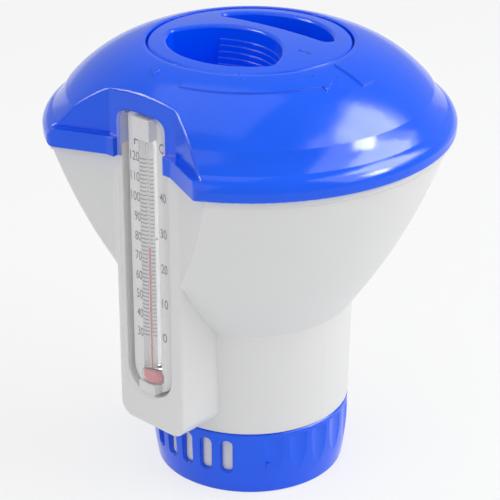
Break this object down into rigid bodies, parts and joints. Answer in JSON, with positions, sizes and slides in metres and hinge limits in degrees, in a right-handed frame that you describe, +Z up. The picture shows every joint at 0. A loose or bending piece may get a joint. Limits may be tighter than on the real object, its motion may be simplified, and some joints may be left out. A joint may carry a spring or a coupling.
{
  "type": "floating pool chlorine dispenser with thermometer",
  "caption": "Floating tablet dispenser for pools with a twist-off lid, an adjustable slotted foot ring and a built-in spirit thermometer behind a clear case.",
  "frame": {"origin": "middle of the foot ring's base, on the dispenser's axis", "axes": "+Z up the axis through the lid, -Y out through the thermometer"},
  "size_m": [0.1266, 0.1183, 0.1428],
  "materials": {
    "white_shell": "satin moulded ABS",
    "blue_dome": "glossy moulded ABS",
    "white_chamber": "satin moulded ABS",
    "blue_regulator": "glossy moulded ABS",
    "blue_lid": "glossy moulded ABS",
    "seal_rubber": "matte silicone",
    "clear_case": "clear moulded polycarbonate",
    "scale_plate": "printed polystyrene plate",
    "tube_glass": "clear drawn glass",
    "spirit_bulb": "red spirit",
    "spirit_column": "red spirit",
    "pad_foam": "soft white foam"
  },
  "bodies": {
    "float": {"float_shell": "white_shell", "float_dome": "blue_dome", "chamber_tube": "white_chamber", "thermo_window": "clear_case", "scale_plate": "scale_plate", "glass_tube": "tube_glass", "spirit_bulb": "spirit_bulb", "spirit_column": "spirit_column", "tube_pad_top": "pad_foam", "tube_pad_foot": "pad_foam"},
    "regulator": {"regulator_ring": "blue_regulator"},
    "seal": {"lid_seal": "seal_rubber"},
    "lid": {"lid": "blue_lid"},
    "spirit": {"spirit_top": "spirit_column"}
  },
  "joints": [
    {"name": "lid_lift", "type": "slide", "parent": "float", "child": "seal", "axis": [0, 0, 1], "range_m": [0, 0.035]},
    {"name": "lid_turn", "type": "hinge", "parent": "seal", "child": "lid", "pos_m": [0, 0, 0.13], "axis": [0, 0, 1], "range_deg": [-50, 0]},
    {"name": "regulator_turn", "type": "hinge", "parent": "float", "child": "regulator", "pos_m": [0, 0, 0.011], "axis": [0, 0, 1], "range_deg": [0, 90]},
    {"name": "spirit_level", "type": "slide", "parent": "float", "child": "spirit", "axis": [0, 0, 1], "range_m": [-0.0302, 0.0277], "deforming": ["spirit_column"]}
  ]
}
